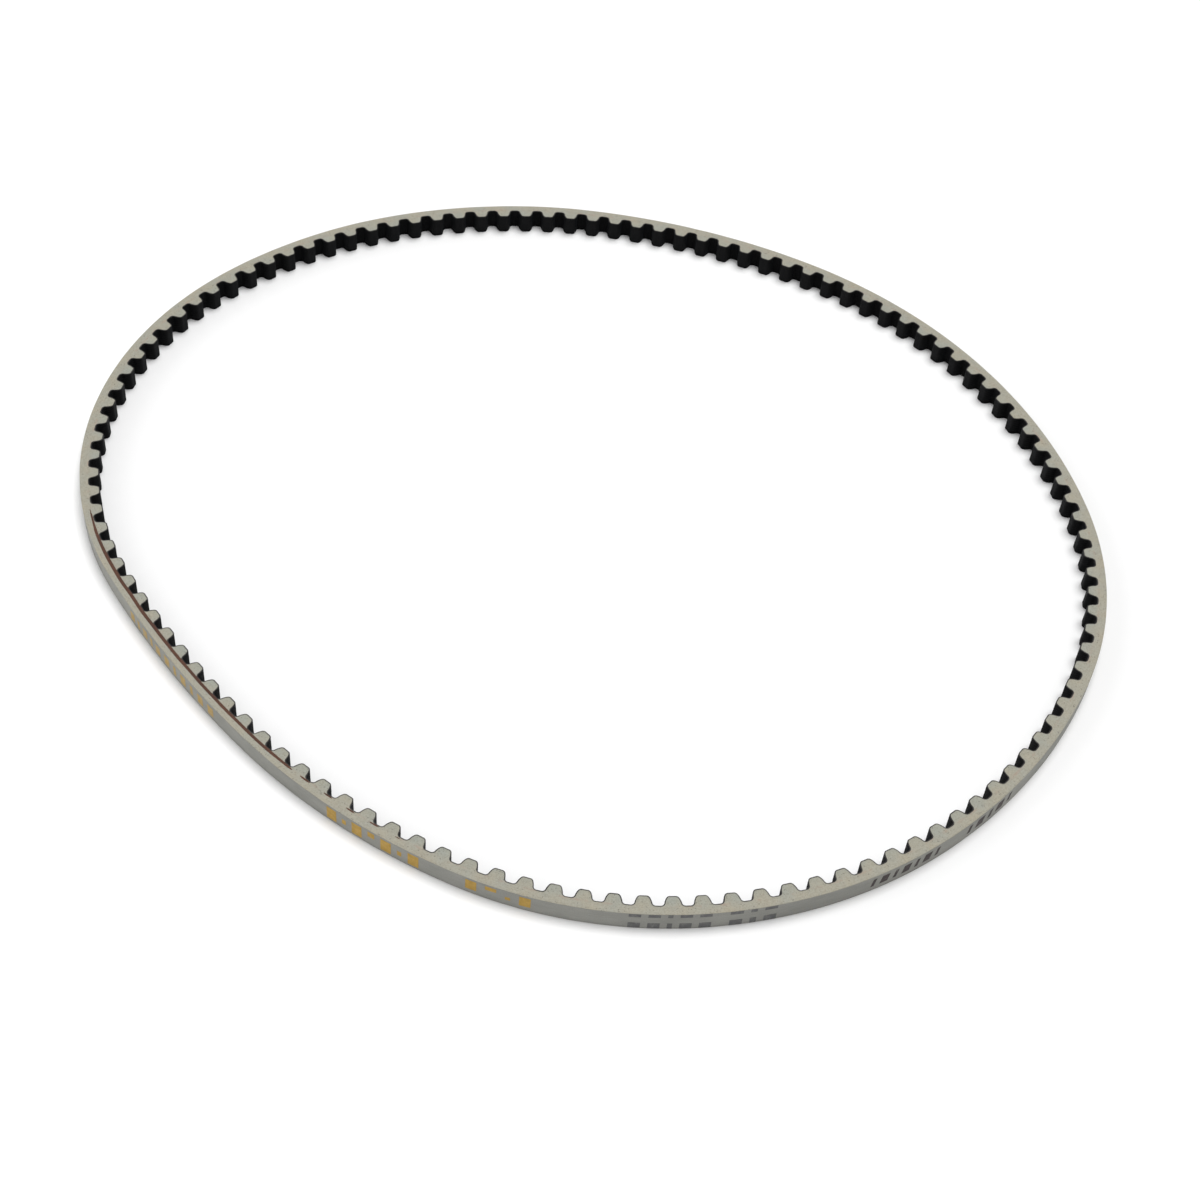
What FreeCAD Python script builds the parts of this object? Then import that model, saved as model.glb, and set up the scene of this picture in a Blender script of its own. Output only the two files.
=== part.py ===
# Endless synchronous (timing) belt, 3 mm pitch, curvilinear teeth on the inside.
#
# The belt stands on its slit edge: +Z is the loop's axis, z = 0 is the lower
# slit edge and the origin is the middle of the loop's box.  The pitch line is
# a closed chain of thirteen arcs of equal length (27 mm, nine teeth each) whose
# bends add up to a full turn.  Each arc is one rigid link made of its own
# layers: back rubber, tensile cords, tooth rubber and facing fabric.  Links
# meet in the middle of a land in a round knuckle on the pitch line: the far
# end of each link is convex, the near end is the matching socket.
#
# Local frame of every piece of a link: origin at the centre of its pitch arc,
# +X through the middle of its fifth tooth, Z up.
import FreeCAD, Part
import Sketcher
import math
import os

V = FreeCAD.Vector
doc = FreeCAD.newDocument("timing_belt")

# ---------------------------------------------------------------- dimensions
CELLS = [
    ("pitch", 3.0), ("link_teeth", 9), ("belt_width", 2.5),
    ("pitch_to_back", 0.68), ("pitch_to_land", 0.381), ("facing_thick", 0.12),
    ("tooth_height", 1.14), ("root_width", 1.84), ("tip_round", 0.40), ("root_round", 0.26),
    ("knuckle_rad", 0.70), ("knuckle_gap", 0.04), ("tooth_shift", 0.30),
    ("cord_dia", 0.30), ("cord_pitch", 0.50), ("cord_lead", 1.0),
    ("cord_edge", 0.0385), ("ink_thick", 0.02),
    ("start_x", -22.5946), ("start_y", 47.085), ("start_heading", 200.3525),
    ("bend_01", 26.1686), ("bend_02", 28.7594), ("bend_03", 35.6505), ("bend_04", 39.3432),
    ("bend_05", 11.9479), ("bend_06", 20.9779), ("bend_07", 32.6091), ("bend_08", 29.9783),
    ("bend_09", 25.5697), ("bend_10", 36.0117), ("bend_11", 26.1013), ("bend_12", 27.2808),
    ("bend_13", 19.6018),
]
sheet = doc.addObject("Spreadsheet::Sheet", "Params")
for row, (alias, value) in enumerate(CELLS, start=1):
    sheet.set("A%d" % row, alias)
    sheet.set("B%d" % row, repr(value))
    sheet.setAlias("B%d" % row, alias)
doc.recompute()
P = {alias: float(sheet.get(alias)) for alias, _ in CELLS}

LINKS = 13
LENGTH = P["pitch"] * P["link_teeth"]
RAD = math.pi / 180.0


# expression texts shared by the sketches of link n
def ex_radius(n):
    return "Params.pitch*Params.link_teeth*180/(pi*Params.bend_%02d)" % n


def ex_far(n):      # angle of the far hinge from local +X, degrees
    return "(Params.bend_%02d*(0.5-Params.tooth_shift/(Params.pitch*Params.link_teeth)))" % n


def ex_near(n):     # angle of the near hinge below local +X, degrees
    return "(Params.bend_%02d*(0.5+Params.tooth_shift/(Params.pitch*Params.link_teeth)))" % n


def link_numbers(n):
    bend = P["bend_%02d" % n]
    radius = LENGTH * 180.0 / (math.pi * bend)
    far = bend * (0.5 - P["tooth_shift"] / LENGTH)
    near = bend * (0.5 + P["tooth_shift"] / LENGTH)
    return bend, radius, far, near


def polar(r, deg):
    return V(r * math.cos(deg * RAD), r * math.sin(deg * RAD), 0)


def link_placements():
    """Chain the arcs counter-clockwise; returns the placement of each link."""
    x, y, heading = P["start_x"], P["start_y"], P["start_heading"]
    out = []
    for n in range(1, LINKS + 1):
        bend, radius, far, near = link_numbers(n)
        cx = x - radius * math.sin(heading * RAD)
        cy = y + radius * math.cos(heading * RAD)
        out.append(FreeCAD.Placement(V(cx, cy, 0), FreeCAD.Rotation(V(0, 0, 1), heading - 90.0 + near)))
        heading += bend
        x = cx + radius * math.sin(heading * RAD)
        y = cy - radius * math.cos(heading * RAD)
    return out, (x, y)


PLACE, LOOP_END = link_placements()
print("loop closes to %.5f mm" % math.hypot(LOOP_END[0] - P["start_x"], LOOP_END[1] - P["start_y"]))

PIECES = []


def new_body(label, n):
    body = doc.addObject("PartDesign::Body", label)
    body.Label = label
    body.AllowCompound = True
    body.Placement = PLACE[n - 1]
    PIECES.append(body)
    return body


def plane(body, role):
    for item in body.Origin.OriginFeatures:
        if item.Role == role:
            return item
    raise RuntimeError("no plane " + role)


def new_sketch(body, name, role="XY_Plane"):
    sk = body.newObject("Sketcher::SketchObject", name)
    sk.AttachmentSupport = [(plane(body, role), "")]
    sk.MapMode = "FlatFace"
    return sk


def bind(sk, con, expr, name):
    i = sk.addConstraint(con)
    sk.renameConstraint(i, name)
    if expr:
        sk.setExpression("Constraints." + name, expr)


def arc(cx, cy, r, a0, a1):
    return Part.ArcOfCircle(Part.Circle(V(cx, cy, 0), V(0, 0, 1), r), a0, a1)


def band_sketch(body, name, n, r_out, r_in, ex_out, ex_in):
    """Layer of a link between two radii, with the convex knuckle at its far end
    and the socket for the next knuckle at its near end."""
    bend, R, far, near = link_numbers(n)
    rho, rs = P["knuckle_rad"], P["knuckle_rad"] + P["knuckle_gap"]
    B, A = polar(R, far), polar(R, -near)

    def psi(r_edge, r_arc):
        return math.acos((r_edge ** 2 - R ** 2 - r_arc ** 2) / (2 * R * r_arc))

    b0, b1 = far * RAD + psi(r_out, rho), far * RAD + psi(r_in, rho)
    a0, a1 = -near * RAD + psi(r_out, rs), -near * RAD + psi(r_in, rs)

    def at(c, r, t):
        return math.atan2(c.y + r * math.sin(t), c.x + r * math.cos(t))

    sk = new_sketch(body, name)
    C = Sketcher.Constraint
    sk.addGeometry([
        arc(0, 0, r_out, at(A, rs, a0), at(B, rho, b0)),
        arc(B.x, B.y, rho, b0, b1),
        arc(0, 0, r_in, at(A, rs, a1), at(B, rho, b1)),
        arc(A.x, A.y, rs, a0, a1)], False)
    sk.addConstraint([
        C("Coincident", 0, 3, -1, 1), C("Coincident", 2, 3, -1, 1),
        C("Coincident", 0, 2, 1, 1), C("Coincident", 1, 2, 2, 2),
        C("Coincident", 2, 1, 3, 2), C("Coincident", 3, 1, 0, 1)])
    R_ = ex_radius(n)
    bind(sk, C("Radius", 0, r_out), ex_out, "outer_radius")
    bind(sk, C("Radius", 2, r_in), ex_in, "inner_radius")
    bind(sk, C("Radius", 1, rho), "Params.knuckle_rad", "knuckle_radius")
    bind(sk, C("Radius", 3, rs), "Params.knuckle_rad+Params.knuckle_gap", "socket_radius")
    bind(sk, C("DistanceX", -1, 1, 1, 3, B.x), "%s*cos(%s)" % (R_, ex_far(n)), "far_x")
    bind(sk, C("DistanceY", -1, 1, 1, 3, B.y), "%s*sin(%s)" % (R_, ex_far(n)), "far_y")
    bind(sk, C("DistanceX", -1, 1, 3, 3, A.x), "%s*cos(%s)" % (R_, ex_near(n)), "near_x")
    bind(sk, C("DistanceY", 3, 3, -1, 1, -A.y), "%s*sin(%s)" % (R_, ex_near(n)), "near_y")
    return sk


def tooth_sketch(body, name, n, shrink, close, root_fillet):
    """One tooth across local +X.  Both flanks are arcs as wide as the tooth's
    root, centred on the opposite root point; the tip corners are rounded.
    shrink is how far the outline lies inside the belt's own surface."""
    bend, R, far, near = link_numbers(n)
    land = R - P["pitch_to_land"]
    w, h = P["root_width"], P["tooth_height"] - shrink
    fr, tr = w - shrink, P["tip_round"] - shrink
    ex_land = "%s-Params.pitch_to_land" % ex_radius(n)
    ex_s = "Params.facing_thick" if shrink else "0"
    C = Sketcher.Constraint
    sk = new_sketch(body, name)
    tx = -h + tr
    ty = -w / 2 + math.sqrt((fr - tr) ** 2 - tx ** 2)
    a_tip = math.atan2(ty + w / 2, tx)
    if root_fillet:
        rf = P["root_round"]
        fy = -w / 2 + math.sqrt((fr + rf) ** 2 - rf ** 2)
        a_root = math.atan2(fy + w / 2, -rf)
    else:
        a_root = math.acos(close / fr)
    top_y = -w / 2 + fr * math.sin(a_root)
    geo = [
        arc(land, -w / 2, fr, a_root, a_tip),                        # 0 flank, +Y side
        arc(land + tx, ty, tr, a_tip, math.pi),                      # 1 tip round
        Part.LineSegment(V(land - h, ty, 0), V(land - h, -ty, 0)),   # 2 tip
        arc(land + tx, -ty, tr, math.pi, 2 * math.pi - a_tip),       # 3 tip round
        arc(land, w / 2, fr, 2 * math.pi - a_tip, 2 * math.pi - a_root),  # 4 flank, -Y side
    ]
    if root_fillet:
        geo += [
            arc(land - rf, fy, rf, a_root + math.pi, 2 * math.pi),                # 5 root fillet, +Y
            arc(land - rf, -fy, rf, 0, math.pi - a_root),                         # 6 root fillet, -Y
            Part.LineSegment(V(land, fy, 0), V(land + close, fy, 0)),             # 7
            Part.LineSegment(V(land + close, fy, 0), V(land + close, -fy, 0)),    # 8
            Part.LineSegment(V(land + close, -fy, 0), V(land, -fy, 0)),           # 9
        ]
    else:
        geo += [Part.LineSegment(V(land + close, -top_y, 0), V(land + close, top_y, 0))]   # 5
    sk.addGeometry(geo, False)
    cons = [C("Tangent", 0, 2, 1, 1), C("Tangent", 1, 2, 2, 1), C("Tangent", 2, 2, 3, 1),
            C("Tangent", 3, 2, 4, 1), C("Vertical", 2)]
    if root_fillet:
        cons += [C("Tangent", 5, 1, 0, 1), C("Tangent", 4, 2, 6, 2),
                 C("Horizontal", 5, 3, 5, 2), C("Horizontal", 6, 3, 6, 1),
                 C("Coincident", 5, 2, 7, 1), C("Coincident", 7, 2, 8, 1), C("Coincident", 8, 2, 9, 1),
                 C("Coincident", 9, 2, 6, 1), C("Horizontal", 7), C("Horizontal", 9), C("Vertical", 8)]
    else:
        cons += [C("Coincident", 4, 2, 5, 1), C("Coincident", 5, 2, 0, 1), C("Vertical", 5)]
    sk.addConstraint(cons)
    bind(sk, C("DistanceX", -1, 1, 0, 3, land), ex_land, "land_a")
    bind(sk, C("DistanceX", -1, 1, 4, 3, land), ex_land, "land_b")
    bind(sk, C("DistanceY", 0, 3, -1, 1, w / 2), "Params.root_width/2", "root_a")
    bind(sk, C("DistanceY", -1, 1, 4, 3, w / 2), "Params.root_width/2", "root_b")
    bind(sk, C("Radius", 0, fr), "Params.root_width-" + ex_s, "flank_a")
    bind(sk, C("Radius", 4, fr), "Params.root_width-" + ex_s, "flank_b")
    bind(sk, C("Radius", 1, tr), "Params.tip_round-" + ex_s, "tip_a")
    bind(sk, C("Radius", 3, tr), "Params.tip_round-" + ex_s, "tip_b")
    bind(sk, C("DistanceX", -1, 1, 2, 1, land - h), "%s-Params.tooth_height+%s" % (ex_land, ex_s), "tip_line")
    if root_fillet:
        bind(sk, C("Radius", 5, rf), "Params.root_round", "root_fillet_a")
        bind(sk, C("Radius", 6, rf), "Params.root_round", "root_fillet_b")
        bind(sk, C("DistanceX", -1, 1, 5, 3, land - rf), ex_land + "-Params.root_round", "fillet_x_a")
        bind(sk, C("DistanceX", -1, 1, 6, 3, land - rf), ex_land + "-Params.root_round", "fillet_x_b")
        bind(sk, C("DistanceX", -1, 1, 8, 1, land + close), ex_land + "+%g" % close, "closing")
    else:
        bind(sk, C("DistanceX", -1, 1, 5, 1, land + close), ex_land + "+%g" % close, "closing")
    return sk


def pad(body, name, sk):
    f = body.newObject("PartDesign::Pad", name)
    f.Profile = sk
    f.setExpression("Length", "Params.belt_width")
    return f


def pattern_both_ways(body, name, originals, n):
    """Repeat the features four more times each way round the link's centre."""
    for k, rev in (("a", False), ("b", True)):
        f = body.newObject("PartDesign::PolarPattern", name + k)
        f.Originals = originals
        f.Axis = (plane(body, "Z_Axis"), [""])
        f.Occurrences = 5
        f.Reversed = rev
        f.setExpression("Angle", "4*Params.bend_%02d/Params.link_teeth" % n)
        body.Tip = f
        doc.recompute()
        if "Invalid" in f.State:
            f.touch()
            doc.recompute()
    return f


def cord_heights(n):
    """Heights of the cord turns in link n: the two cords climb one lead in a
    full turn, so every link's turns sit a thirteenth of a lead from its
    neighbour's.  A turn whose middle is cut away at the slit edge is left out."""
    top = P["belt_width"] - P["cord_edge"] - (n - 5) * P["cord_lead"] / LINKS
    out = []
    for k in range(-12, 13):
        z = top + k * P["cord_pitch"]
        if -0.05 < z < P["belt_width"] + 0.05:
            out.append((k, z))
    return out


def ex_cord(n, k):
    return "Params.belt_width-Params.cord_edge-%d*Params.cord_lead/13+%d*Params.cord_pitch" % (n - 5, k)


def cord_sketch(body, name, n):
    bend, R, far, near = link_numbers(n)
    sk = new_sketch(body, name, "XZ_Plane")
    C = Sketcher.Constraint
    for i, (k, z) in enumerate(cord_heights(n)):
        sk.addGeometry(Part.Circle(V(R, z, 0), V(0, 0, 1), P["cord_dia"] / 2), False)
        bind(sk, C("DistanceX", -1, 1, i, 3, R), ex_radius(n), "cord_x_%d" % i)
        bind(sk, C("DistanceY", -1, 1, i, 3, z), ex_cord(n, k), "cord_z_%d" % i)
        bind(sk, C("Diameter", i, P["cord_dia"]), "Params.cord_dia", "cord_d_%d" % i)
    return sk


def groove(body, name, sk):
    f = body.newObject("PartDesign::Groove", name)
    f.Profile = sk
    f.ReferenceAxis = (sk, ["V_Axis"])
    f.Angle = 360.0
    body.Tip = f
    return f


def check_cut(body, before, what):
    doc.recompute()
    after = body.Tip.Shape.Volume
    if not after < before - 1e-6:
        raise RuntimeError("%s cut nothing in %s" % (what, body.Label))


# ---------------------------------------------------------------- the layers
def make_backing(n):
    """Back rubber: pitch line to the smooth outside face, with a half-round
    bed for every cord turn."""
    bend, R, far, near = link_numbers(n)
    body = new_body("backing_%02d" % n, n)
    R_ = ex_radius(n)
    sk = band_sketch(body, "backing_outline_%02d" % n, n, R + P["pitch_to_back"], R,
                     R_ + "+Params.pitch_to_back", R_)
    pad(body, "backing_pad_%02d" % n, sk)
    doc.recompute()
    v = body.Tip.Shape.Volume
    groove(body, "backing_cord_beds_%02d" % n, cord_sketch(body, "backing_beds_%02d" % n, n))
    check_cut(body, v, "cord beds")


def make_tooth_rubber(n):
    """Tooth rubber: land layer below the pitch line and nine teeth inside the
    facing, with the other half of every cord's bed."""
    bend, R, far, near = link_numbers(n)
    body = new_body("tooth_rubber_%02d" % n, n)
    R_ = ex_radius(n)
    inner = P["pitch_to_land"] - P["facing_thick"]
    sk = band_sketch(body, "land_outline_%02d" % n, n, R, R - inner, R_,
                     R_ + "-Params.pitch_to_land+Params.facing_thick")
    pad(body, "land_pad_%02d" % n, sk)
    doc.recompute()
    v = body.Tip.Shape.Volume
    groove(body, "land_cord_beds_%02d" % n, cord_sketch(body, "land_beds_%02d" % n, n))
    check_cut(body, v, "cord beds")
    tooth = pad(body, "tooth_pad_%02d" % n,
                tooth_sketch(body, "tooth_outline_%02d" % n, n, P["facing_thick"], 0.17, False))
    body.Tip = tooth
    doc.recompute()
    pattern_both_ways(body, "teeth_%02d" % n, [tooth], n)


def make_facing(n):
    """Facing fabric: a thin skin over lands and teeth, with the small fillets
    at the tooth roots."""
    bend, R, far, near = link_numbers(n)
    body = new_body("facing_%02d" % n, n)
    R_ = ex_radius(n)
    outer = P["pitch_to_land"] - P["facing_thick"]
    sk = band_sketch(body, "skin_outline_%02d" % n, n, R - outer, R - P["pitch_to_land"],
                     R_ + "-Params.pitch_to_land+Params.facing_thick", R_ + "-Params.pitch_to_land")
    pad(body, "skin_pad_%02d" % n, sk)
    bump = pad(body, "bump_pad_%02d" % n,
               tooth_sketch(body, "bump_outline_%02d" % n, n, 0.0, 0.06, True))
    body.Tip = bump
    doc.recompute()
    full = pattern_both_ways(body, "bumps_%02d" % n, [bump], n)
    doc.recompute()
    v = body.Tip.Shape.Volume
    hollow = body.newObject("PartDesign::Pocket", "hollow_%02d" % n)
    hollow.Profile = tooth_sketch(body, "hollow_outline_%02d" % n, n, P["facing_thick"], 0.20, False)
    hollow.SideType = "Symmetric"
    hollow.setExpression("Length", "2*Params.belt_width+1")
    body.Tip = hollow
    check_cut(body, v, "tooth hollow")
    pattern_both_ways(body, "hollows_%02d" % n, [hollow], n)


def make_cords(n):
    """Tensile cords of one link: each turn is its own solid, cut flush where
    it runs out of a slit edge."""
    bend, R, far, near = link_numbers(n)
    body = new_body("cords_%02d" % n, n)
    sk = cord_sketch(body, "cord_sections_%02d" % n, n)
    f = body.newObject("PartDesign::Revolution", "cord_turns_%02d" % n)
    f.Profile = sk
    f.ReferenceAxis = (sk, ["V_Axis"])
    f.Type = "TwoAngles"
    deg = "%s" % "Params.bend_%02d/(Params.pitch*Params.link_teeth)" % n
    # the cord ends lie flush in the socket (near end) and in the knuckle (far end)
    f.setExpression("Angle", "%s+%s*(Params.knuckle_rad-0.01)" % (ex_far(n), deg))
    f.setExpression("Angle2", "%s-%s*(Params.knuckle_rad+Params.knuckle_gap+0.01)" % (ex_near(n), deg))
    doc.recompute()
    body.Tip = f
    heights = [z for _, z in cord_heights(n)]
    r = P["cord_dia"] / 2
    for side, z0, z1, hit in (("top", P["belt_width"], P["belt_width"] + 0.5,
                               any(z + r > P["belt_width"] for z in heights)),
                              ("bottom", -0.5, 0.0, any(z - r < 0 for z in heights))):
        if not hit:
            continue
        v = body.Tip.Shape.Volume
        tr = new_sketch(body, "slit_%s_%02d" % (side, n), "XZ_Plane")
        tr.addGeometry([Part.LineSegment(V(R - 1, z0, 0), V(R + 1, z0, 0)),
                        Part.LineSegment(V(R + 1, z0, 0), V(R + 1, z1, 0)),
                        Part.LineSegment(V(R + 1, z1, 0), V(R - 1, z1, 0)),
                        Part.LineSegment(V(R - 1, z1, 0), V(R - 1, z0, 0))], False)
        C = Sketcher.Constraint
        tr.addConstraint([C("Coincident", 0, 2, 1, 1), C("Coincident", 1, 2, 2, 1), C("Coincident", 2, 2, 3, 1),
                          C("Coincident", 3, 2, 0, 1), C("Horizontal", 0), C("Horizontal", 2),
                          C("Vertical", 1), C("Vertical", 3)])
        bind(tr, C("DistanceX", -1, 1, 0, 1, R - 1), ex_radius(n) + "-1", "slit_in")
        bind(tr, C("DistanceX", 0, 1, 0, 2, 2.0), None, "slit_reach")
        bind(tr, C("DistanceY", 1, 1, 1, 2, 0.5), None, "slit_depth")
        if side == "top":
            bind(tr, C("DistanceY", -1, 1, 0, 1, z0), "Params.belt_width", "slit_height")
        else:
            tr.addConstraint(C("PointOnObject", 2, 1, -1))
        groove(body, "slit_cut_%s_%02d" % (side, n), tr)
        check_cut(body, v, "slit")


def make_print(label, n, s0, s1, count, z0, z1, duty):
    """A row of printed bars on the back of link n, between s0 and s1 mm along
    the link from its near hinge."""
    bend, R, far, near = link_numbers(n)
    body = new_body(label, n)
    ro = R + P["pitch_to_back"]
    step = (s1 - s0) / (count - 1 + duty) if count > 1 else (s1 - s0) / duty
    deg = bend / LENGTH
    mid = (s0 + step * duty / 2) * deg - near       # middle of the first bar
    body.Placement = PLACE[n - 1].multiply(FreeCAD.Placement(V(0, 0, 0), FreeCAD.Rotation(V(0, 0, 1), mid)))
    sk = new_sketch(body, label + "_bar", "XZ_Plane")
    t = P["ink_thick"]
    sk.addGeometry([Part.LineSegment(V(ro, z0, 0), V(ro + t, z0, 0)),
                    Part.LineSegment(V(ro + t, z0, 0), V(ro + t, z1, 0)),
                    Part.LineSegment(V(ro + t, z1, 0), V(ro, z1, 0)),
                    Part.LineSegment(V(ro, z1, 0), V(ro, z0, 0))], False)
    C = Sketcher.Constraint
    sk.addConstraint([C("Coincident", 0, 2, 1, 1), C("Coincident", 1, 2, 2, 1), C("Coincident", 2, 2, 3, 1),
                      C("Coincident", 3, 2, 0, 1), C("Horizontal", 0), C("Horizontal", 2),
                      C("Vertical", 1), C("Vertical", 3)])
    bind(sk, C("DistanceX", -1, 1, 0, 1, ro), ex_radius(n) + "+Params.pitch_to_back", "ink_radius")
    bind(sk, C("DistanceX", 0, 1, 0, 2, t), "Params.ink_thick", "ink_thick")
    bind(sk, C("DistanceY", -1, 1, 0, 1, z0), None, "ink_low")
    bind(sk, C("DistanceY", 1, 1, 1, 2, z1 - z0), None, "ink_tall")
    f = body.newObject("PartDesign::Revolution", label + "_sweep")
    f.Profile = sk
    f.ReferenceAxis = (sk, ["V_Axis"])
    f.Midplane = True
    f.Angle = step * duty * deg
    body.Tip = f
    doc.recompute()
    if count > 1:
        g = body.newObject("PartDesign::PolarPattern", label + "_row")
        g.Originals = [f]
        g.Axis = (plane(body, "Z_Axis"), [""])
        g.Occurrences = count
        g.Angle = step * deg * (count - 1)
        body.Tip = g
        doc.recompute()


for n in range(1, LINKS + 1):
    make_backing(n)
    make_tooth_rubber(n)
    make_facing(n)
    make_cords(n)

make_print("print_dark_09", 9, 2.2, 9.0, 5, 0.70, 1.90, 0.6)
make_print("print_dark_08", 8, 16.6, 24.6, 6, 0.70, 1.90, 0.6)
make_print("print_grey_08", 8, 1.4, 6.2, 4, 0.25, 0.95, 0.6)
make_print("print_grey_07", 7, 18.4, 25.2, 5, 0.25, 0.95, 0.6)
make_print("print_ochre_07", 7, 2.0, 8.8, 4, 0.50, 1.80, 0.6)
make_print("print_ochre_06", 6, 11.7, 23.8, 5, 0.30, 2.20, 0.6)
make_print("print_ochre_05", 5, 5.3, 22.2, 8, 0.50, 1.70, 0.6)

# ---------------------------------------------------------------- checks, files
for b in PIECES:
    b.touch()
doc.recompute()
bad = []
for o in doc.Objects:
    if any(word in ("Invalid", "Error") for word in o.State):
        bad.append(o.Name)
    if o.TypeId == "Sketcher::SketchObject" and o.solve() != 0:
        bad.append(o.Name + " (sketch)")
for b in PIECES:
    if b.Shape.isNull() or not b.Shape.isValid() or not b.Shape.Solids:
        bad.append(b.Label + " (shape)")
    elif abs(b.Shape.Volume - b.Tip.Shape.Volume) > 1e-6:
        bad.append(b.Label + " (tip)")
if bad:
    raise RuntimeError("failed: " + ", ".join(bad))

os.makedirs("parts", exist_ok=True)
total = 0.0
lo, hi = [1e9] * 3, [-1e9] * 3
for b in PIECES:
    b.Shape.exportStep("parts/%s.step" % b.Label)
    total += b.Shape.Volume
    bb = b.Shape.BoundBox
    for i, (p, q) in enumerate(((bb.XMin, bb.XMax), (bb.YMin, bb.YMax), (bb.ZMin, bb.ZMax))):
        lo[i], hi[i] = min(lo[i], p), max(hi[i], q)
print("%d nodes, %.2f mm3" % (len(PIECES), total))
print("box", [round(v, 3) for v in lo], [round(v, 3) for v in hi])
for label in ("backing_01", "tooth_rubber_01", "facing_01", "cords_01", "cords_05", "print_ochre_05"):
    b = doc.getObjectsByLabel(label)[0]
    print(label, "solids", len(b.Shape.Solids), "volume %.3f" % b.Shape.Volume)
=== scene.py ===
# Looks for an endless 3 mm pitch timing belt: backing rubber, tooth rubber, facing fabric,
# tensile cords and printed bars, built round the imported frame as pieces split in each link's land; the two end
# pieces ride on links 01 and 13, the rest stay fixed in place.
import bpy
import math
import random
import numpy as np
from mathutils import Matrix, Vector


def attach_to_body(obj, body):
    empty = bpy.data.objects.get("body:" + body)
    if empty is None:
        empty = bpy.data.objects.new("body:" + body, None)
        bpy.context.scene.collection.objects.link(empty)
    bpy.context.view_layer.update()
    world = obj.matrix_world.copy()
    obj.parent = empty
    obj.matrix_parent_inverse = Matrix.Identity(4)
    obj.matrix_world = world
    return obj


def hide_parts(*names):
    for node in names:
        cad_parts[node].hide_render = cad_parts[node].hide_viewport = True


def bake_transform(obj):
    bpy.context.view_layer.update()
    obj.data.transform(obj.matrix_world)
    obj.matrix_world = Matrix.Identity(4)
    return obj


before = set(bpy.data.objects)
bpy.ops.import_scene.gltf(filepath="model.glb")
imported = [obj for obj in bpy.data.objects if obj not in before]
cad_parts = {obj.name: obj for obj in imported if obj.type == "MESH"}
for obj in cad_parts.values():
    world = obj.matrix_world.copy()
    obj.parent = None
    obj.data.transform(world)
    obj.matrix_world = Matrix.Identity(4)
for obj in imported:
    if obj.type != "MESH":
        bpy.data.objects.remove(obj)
MM = 0.001

# ------------------------------------------------------------------ belt numbers, mm (as in the CAD)
BENDS = [26.1686, 28.7594, 35.6505, 39.3432, 11.9479, 20.9779, 32.6091, 29.9783,
         25.5697, 36.0117, 26.1013, 27.2808, 19.6018]
START, HEADING = (-22.5946, 47.085), 200.3525
LINK, PITCH, WIDTH = 27.0, 3.0, 2.5
BACK, LAND, SKIN = 0.68, 0.381, 0.12
TOOTH_H, ROOT_W, TIP_R, ROOT_R = 1.14, 1.84, 0.40, 0.36
SHIFT = 0.30                      # first tooth of a link stands 1.5 + 0.3 mm past its hinge
LOOP = LINK * 13
SPLIT = 12.3                      # pieces are cut in this land of each link


def chain():
    x, y, h = START[0], START[1], math.radians(HEADING)
    out = []
    for b in BENDS:
        a = math.radians(b)
        r = LINK / a
        cx, cy = x - r * math.sin(h), y + r * math.cos(h)
        out.append((cx, cy, h, r, x, y))
        h += a
        x, y = cx + r * math.sin(h), cy - r * math.cos(h)
    return out


CHAIN = chain()
_cx, _cy, _h, _r, _x, _y = (np.array(c) for c in zip(*CHAIN))


def place(s, n, z):
    """Belt coordinates (along, outward from the pitch line, up) in mm to metres."""
    s, n, z = (np.asarray(v, float) for v in np.broadcast_arrays(s, n, z))
    sm = np.mod(s, LOOP)
    end = np.isclose(s, LOOP)
    j = np.minimum((sm // LINK).astype(int), 12)
    j = np.where(end, 12, j)
    t = _h[j] + np.where(end, LINK, sm - j * LINK) / _r[j]
    rr = _r[j] + n
    return np.stack([_cx[j] + rr * np.sin(t), _cy[j] - rr * np.cos(t), z], -1) * MM


WOBBLES = {}


def wobble(s, k, seed):
    """Smooth periodic irregularity of about unit size round the loop."""
    if (k, seed) not in WOBBLES:
        rng = np.random.RandomState(seed)
        pairs = [(max(1, int(k * (0.6 + 0.9 * rng.rand()))), rng.rand() * 6.283) for _ in range(6)]
        grid = np.arange(0, 8193) / 8192.0
        WOBBLES[(k, seed)] = sum(np.sin(2 * math.pi * f * grid + ph) for f, ph in pairs) / 2.2
    return np.interp(np.mod(s, LOOP) / LOOP * 8192.0, np.arange(8193), WOBBLES[(k, seed)])


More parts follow.
